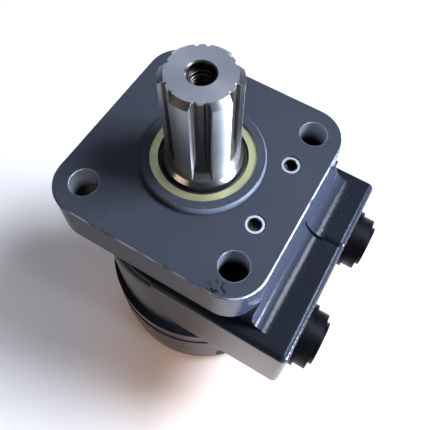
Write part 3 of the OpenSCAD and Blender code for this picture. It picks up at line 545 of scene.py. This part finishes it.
def moulded_polyethylene(soft):
    """Injection-moulded polyethylene plugs."""
    # Soft, waxy black with faint flow marks
    material, tree, place = start_material("moulded_polyethylene", soft.plastic)
    flow = add_node(tree, "ShaderNodeTexNoise", {"Scale": per(5), "Detail": 3},
                    {"Vector": place}).outputs["Fac"]
    roughness = add_node(tree, "ShaderNodeMapRange",
                         {"From Min": 0.3, "From Max": 0.7, "To Min": 0.32, "To Max": 0.48},
                         {"Value": flow}).outputs["Result"]
    ripple = add_node(tree, "ShaderNodeTexNoise", {"Scale": per(1.1), "Detail": 2},
                      {"Vector": place}).outputs["Fac"]
    relief = add_node(tree, "ShaderNodeBump", {"Strength": 0.4, "Distance": 0.03 * MM}, {"Height": ripple})
    shader = add_node(tree, "ShaderNodeBsdfPrincipled",
                      {"Base Color": (*soft.plastic, 1), "Specular IOR Level": 0.15},
                      {"Roughness": roughness, "Normal": relief.outputs["Normal"]})
    add_node(tree, "ShaderNodeOutputMaterial", links={"Surface": shader.outputs["BSDF"]})
    return material


def matt_floor(colour):
    """Matt board under the motor."""
    # Plain and pale, with a trace of paper grain
    material, tree, place = start_material("matt_board", colour)
    grain = add_node(tree, "ShaderNodeTexNoise", {"Scale": per(1.5), "Detail": 2},
                     {"Vector": place}).outputs["Fac"]
    relief = add_node(tree, "ShaderNodeBump", {"Strength": 0.1, "Distance": 0.02 * MM}, {"Height": grain})
    shader = add_node(tree, "ShaderNodeBsdfPrincipled", {"Base Color": (*colour, 1), "Roughness": 0.9},
                      {"Normal": relief.outputs["Normal"]})
    add_node(tree, "ShaderNodeOutputMaterial", links={"Surface": shader.outputs["BSDF"]})
    return material


# Pieces

def finish_nodes(material, *names):
    """Gives each of these parts the finish."""
    for name in names:
        part = frame["nodes"][name]
        part.data.materials.clear()
        part.data.materials.append(material)


def mesh_piece(name, points, faces, material, body):
    """A new piece from points and faces, which rides on a body."""
    mesh = bpy.data.meshes.new(name)
    mesh.from_pydata(points, [], faces)
    mesh.validate()
    mesh.shade_smooth()
    mesh.materials.append(material)
    piece = bpy.data.objects.new(name, mesh)
    bpy.context.scene.collection.objects.link(piece)
    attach(piece, body)


def thread_ridge(major, pitch, depth, top_z):
    """The points and faces of an internal thread's ridge, which winds down from a level round the Z axis."""
    steps = 48
    turns = depth / pitch
    sunk = 0.05 * MM
    ridge_height = 0.54 * pitch
    foot = 0.47 * pitch
    flat = 0.12 * pitch
    crest = major / 2 - ridge_height
    root = major / 2 + sunk
    section = [(root, foot), (crest, flat), (crest, -flat), (root, -foot)]
    points = []
    faces = []
    count = int(turns * steps)
    for i in range(count + 1):
        angle = 2 * pi * i / steps
        drop = top_z - pitch * i / steps
        grow = min(1.0, i / steps, (count - i) / steps)
        for radius, rise in section:
            r = root + (radius - root) * grow
            points.append((r * cos(angle), r * sin(angle), drop + rise))
    for i in range(count):
        for k in range(len(section)):
            a = i * len(section) + k
            b = i * len(section) + (k + 1) % len(section)
            faces.append((a, b, b + len(section), a + len(section)))
    last = count * len(section)
    faces.append(tuple(reversed(range(len(section)))))
    faces.append(tuple(range(last, last + len(section))))
    return points, faces


def relief_cutter(reliefs, tooth, side):
    """The points and faces of the tool that cuts one relief: a bar that runs out towards the journal."""
    steps = 14
    rings = 12
    levels = [SHAFT_TOP_Z + MM, reliefs.full_depth]
    run = reliefs.end - reliefs.full_depth
    levels += [reliefs.full_depth + run * i / rings for i in range(1, rings + 1)]
    along = sqrt(reliefs.root ** 2 - reliefs.offset ** 2)
    turn = Matrix.Rotation(radians(360 / SPLINE_TEETH * (tooth + 0.5)), 3, "Z")
    points = []
    for level in levels:
        fall = max(0, reliefs.full_depth - level)
        rise = reliefs.run_out - sqrt(reliefs.run_out ** 2 - fall ** 2)
        for i in range(steps):
            angle = 2 * pi * i / steps
            points.append(turn @ Vector((along + rise + reliefs.radius * cos(angle),
                                         side * reliefs.offset + reliefs.radius * sin(angle), level)))
    faces = [tuple(range(steps)), tuple(reversed(range(len(points) - steps, len(points))))]
    for k in range(len(levels) - 1):
        for i in range(steps):
            a = k * steps + i
            b = k * steps + (i + 1) % steps
            faces.append((a, a + steps, b + steps, b))
    return points, faces


def relieved_shaft(reliefs, material):
    """The output shaft with its reliefs cut, in place of the plain one."""
    bm = bmesh.new()
    for tooth in range(SPLINE_TEETH):
        for side in (-1, 1):
            points, faces = relief_cutter(reliefs, tooth, side)
            corners = [bm.verts.new(point) for point in points]
            for face in faces:
                bm.faces.new([corners[i] for i in face])
    bmesh.ops.recalc_face_normals(bm, faces=bm.faces)
    tool_mesh = bpy.data.meshes.new("relief_tool")
    bm.to_mesh(tool_mesh)
    bm.free()
    tool = bpy.data.objects.new("relief_tool", tool_mesh)
    blank_mesh = frame["nodes"]["output_shaft"].data.copy()
    bm = bmesh.new()
    bm.from_mesh(blank_mesh)
    bmesh.ops.remove_doubles(bm, verts=bm.verts, dist=0.001 * MM)
    bm.to_mesh(blank_mesh)
    bm.free()
    # The blank's stored normals don't fit the cut faces
    if "custom_normal" in blank_mesh.attributes:
        blank_mesh.attributes.remove(blank_mesh.attributes["custom_normal"])
    blank = bpy.data.objects.new("shaft_blank", blank_mesh)
    for item in (tool, blank):
        bpy.context.scene.collection.objects.link(item)
    cut = blank.modifiers.new("reliefs", "BOOLEAN")
    cut.operation = "DIFFERENCE"
    cut.object = tool
    cut.solver = "EXACT"
    cut.use_self = True
    mesh = bpy.data.meshes.new_from_object(blank.evaluated_get(bpy.context.evaluated_depsgraph_get()))
    for item in (tool, blank):
        bpy.data.objects.remove(item)
    mesh.shade_smooth()
    mesh.set_sharp_from_angle(angle=SHARP_ANGLE)
    mesh.materials.clear()
    mesh.materials.append(material)
    shaft = bpy.data.objects.new("splined_shaft", mesh)
    bpy.context.scene.collection.objects.link(shaft)
    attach(shaft, "output_shaft")
    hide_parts("output_shaft")


class MOTOR_OT_housing(bpy.types.Operator):
    """Paints the housing and the end cover"""

    bl_idname = "motor.housing"
    bl_label = "Housing"

    def execute(self, context):
        finish_nodes(painted_cast_iron(context.scene.motor_paint, context.scene.motor_metals),
                     "housing", "end_cover")
        return {"FINISHED"}


class MOTOR_OT_plates(bpy.types.Operator):
    """Paints the spacer plate and the gear ring"""

    bl_idname = "motor.plates"
    bl_label = "Plates"

    def execute(self, context):
        finish_nodes(painted_steel_plate(context.scene.motor_paint), "spacer_plate", "gear_ring")
        return {"FINISHED"}


class MOTOR_OT_shaft(bpy.types.Operator):
    """Cuts the reliefs and the end thread of the output shaft and finishes it"""

    bl_idname = "motor.shaft"
    bl_label = "Output shaft"

    def execute(self, context):
        material = ground_steel(context.scene.motor_metals)
        relieved_shaft(context.scene.motor_reliefs, material)
        thread = context.scene.motor_thread
        points, faces = thread_ridge(thread.major, thread.pitch, thread.depth, SHAFT_TOP_Z - thread.start)
        mesh_piece("shaft_end_thread", points, faces, material, "output_shaft")
        return {"FINISHED"}


class MOTOR_OT_seals(bpy.types.Operator):
    """Finishes the seals, the O-rings and the drain plug's washer"""

    bl_idname = "motor.seals"
    bl_label = "Seals"

    def execute(self, context):
        finish_nodes(nitrile_rubber(context.scene.motor_soft), "dust_seal_lip", "shaft_seal",
                     "housing_o_ring", "ring_o_ring", "cover_o_ring", "drain_washer")
        finish_nodes(yellow_zinc(context.scene.motor_metals), "dust_seal_case")
        return {"FINISHED"}


class MOTOR_OT_bearing(bpy.types.Operator):
    """Finishes the thrust bearing, the seal's support ring and the check balls"""

    bl_idname = "motor.bearing"
    bl_label = "Thrust bearing"

    def execute(self, context):
        finish_nodes(bearing_steel(context.scene.motor_metals),
                     "thrust_race_front", "thrust_race_rear", "thrust_needles", "seal_support_ring",
                     "check_ball_a", "check_ball_b")
        finish_nodes(rolled_brass(context.scene.motor_metals), "thrust_cage")
        return {"FINISHED"}


class MOTOR_OT_gear_set(bpy.types.Operator):
    """Finishes the rotor, its rollers, the cardan shaft and its disc"""

    bl_idname = "motor.gear_set"
    bl_label = "Gear set"

    def execute(self, context):
        rollers = [f"roller_{number}" for number in range(1, ROLLERS + 1)]
        finish_nodes(hardened_steel(context.scene.motor_metals), "rotor", "cardan_shaft", "cardan_disc",
                     *rollers)
        return {"FINISHED"}


class MOTOR_OT_screws(bpy.types.Operator):
    """Finishes the set screws, the cover screws, their washers and the drain plug"""

    bl_idname = "motor.screws"
    bl_label = "Screws"

    def execute(self, context):
        metals = context.scene.motor_metals
        finish_nodes(bright_zinc(metals), "check_plugs", "drain_plug")
        finish_nodes(black_oxide(metals), "cover_screws")
        finish_nodes(annealed_copper(metals), "screw_washers")
        return {"FINISHED"}


class MOTOR_OT_port_plugs(bpy.types.Operator):
    """Finishes the transport plugs in the ports"""

    bl_idname = "motor.port_plugs"
    bl_label = "Port plugs"

    def execute(self, context):
        finish_nodes(moulded_polyethylene(context.scene.motor_soft), "port_plug_a", "port_plug_b")
        return {"FINISHED"}


# Stage

def add_lamp(name, power, colour, place, width, depth, aim, spread=180):
    """A soft rectangular lamp at a place that shines at a point, in a cone of that many degrees."""
    data = bpy.data.lights.new(name, "AREA")
    data.shape = "RECTANGLE"
    data.size = width
    data.size_y = depth
    data.energy = power
    data.color = linear(colour)
    data.spread = radians(spread)
    lamp = bpy.data.objects.new(name, data)
    lamp.location = place
    lamp.rotation_euler = (Vector(aim) - Vector(place)).to_track_quat("-Z", "Y").to_euler()
    bpy.context.scene.collection.objects.link(lamp)


def add_camera(focal_length):
    """The camera at the photograph's place, with its roll and the shift that its framing needs."""
    place = Vector((53.63, -82.81, 162.37)) * MM
    target = Vector((14.26, 8.29, 0)) * MM
    roll = radians(6.64)
    principal_point = (250.51, 157.79)  # pixels
    sensor_width = 36  # millimetres
    clip_start = 0.01
    data = bpy.data.cameras.new("camera")
    data.lens = focal_length
    data.sensor_width = sensor_width
    data.shift_x = 0.5 - principal_point[0] / IMAGE_SIDE
    data.shift_y = principal_point[1] / IMAGE_SIDE - 0.5
    data.clip_start = clip_start
    camera = bpy.data.objects.new("camera", data)
    turn = (target - place).to_track_quat("-Z", "Y").to_matrix().to_4x4()
    camera.matrix_world = Matrix.Translation(place) @ turn @ Matrix.Rotation(roll, 4, "Z")
    bpy.context.scene.collection.objects.link(camera)
    bpy.context.scene.camera = camera


def add_floor(colour):
    """A large pale floor under the motor."""
    mesh = bpy.data.meshes.new("floor")
    bm = bmesh.new()
    bmesh.ops.create_grid(bm, x_segments=1, y_segments=1, size=FLOOR_HALF_WIDTH)
    bm.to_mesh(mesh)
    bm.free()
    floor = bpy.data.objects.new("floor", mesh)
    floor.location.z = FLOOR_Z
    mesh.materials.append(matt_floor(colour))
    bpy.context.scene.collection.objects.link(floor)


class MOTOR_OT_stage(bpy.types.Operator):
    """Sets up the floor, the lamps and the camera"""

    bl_idname = "motor.stage"
    bl_label = "Stage"

    def execute(self, context):
        stage = context.scene.motor_stage
        add_floor(tuple(stage.floor))
        # Places, widths and aims of the lamps are in metres
        add_lamp("key", stage.key, "eef3ff", (0.50, 0.33, 0.76), 0.36, 0.36, (0, 0, -0.03))
        add_lamp("side", stage.side, "e3ecff", (0.5, 0.02, -0.02), 0.3, 0.12, (0, 0, 0.012), 26)
        add_lamp("sky", stage.sky, "dfe8ff", (-0.6, 0.95, 1.4), 1.3, 1.3, (0, 0, 0))
        add_lamp("ceiling", stage.ceiling, "dfe8ff", (-0.05, 0.2, 1.5), 1.1, 1.1, (-0.05, 0.2, 0))
        add_lamp("warm_floor", stage.warm, "ffc08c", (0.13, -0.24, -0.02), 0.08, 0.08,
                 (0.05, -0.06, -0.13), 36)
        add_lamp("warm_side", WARM_SIDE_TIMES * stage.warm, "ffdcbc", (-0.14, -0.36, 0.04), 0.2, 0.14,
                 (0.01, 0, -0.03), 90)
        world = bpy.data.worlds.new("studio")
        world.use_nodes = True
        world.node_tree.nodes["Background"].inputs["Color"].default_value = (1, 1, 1, 1)
        world.node_tree.nodes["Background"].inputs["Strength"].default_value = WORLD_STRENGTH
        context.scene.world = world
        context.scene.view_settings.view_transform = "Standard"
        add_camera(stage.focal_length)
        return {"FINISHED"}


OPERATORS = (MOTOR_OT_stage, MOTOR_OT_housing, MOTOR_OT_plates, MOTOR_OT_shaft, MOTOR_OT_seals,
             MOTOR_OT_bearing, MOTOR_OT_gear_set, MOTOR_OT_screws, MOTOR_OT_port_plugs)
SETTINGS = {"motor_stage": MotorStage, "motor_paint": MotorPaint, "motor_metals": MotorMetals,
            "motor_soft": MotorSoftParts, "motor_reliefs": MotorReliefs, "motor_thread": MotorThread}


class MOTOR_PT_panel(bpy.types.Panel):
    """Lists the steps that build the motor's looks, with their settings."""

    bl_idname = "MOTOR_PT_panel"
    bl_label = "Orbital hydraulic motor"
    bl_space_type = "VIEW_3D"
    bl_region_type = "UI"
    bl_category = "Hydraulic motor"

    def draw(self, context):
        for operator in OPERATORS:
            self.layout.operator(operator.bl_idname)
        for name, group in SETTINGS.items():
            box = self.layout.box()
            for field in group.__annotations__:
                box.prop(getattr(context.scene, name), field)


def register():
    for group in SETTINGS.values():
        bpy.utils.register_class(group)
    for cls in (*OPERATORS, MOTOR_PT_panel):
        bpy.utils.register_class(cls)
    for name, group in SETTINGS.items():
        setattr(bpy.types.Scene, name, bpy.props.PointerProperty(type=group))


def unregister():
    for name in SETTINGS:
        delattr(bpy.types.Scene, name)
    for cls in reversed((*OPERATORS, MOTOR_PT_panel)):
        bpy.utils.unregister_class(cls)
    for group in reversed(SETTINGS.values()):
        bpy.utils.unregister_class(group)


def main():
    """Builds the stage and finishes every part."""
    register()
    bpy.ops.motor.stage()
    bpy.ops.motor.housing()
    bpy.ops.motor.plates()
    bpy.ops.motor.shaft()
    bpy.ops.motor.seals()
    bpy.ops.motor.bearing()
    bpy.ops.motor.gear_set()
    bpy.ops.motor.screws()
    bpy.ops.motor.port_plugs()


if __name__ == "__main__":
    main()
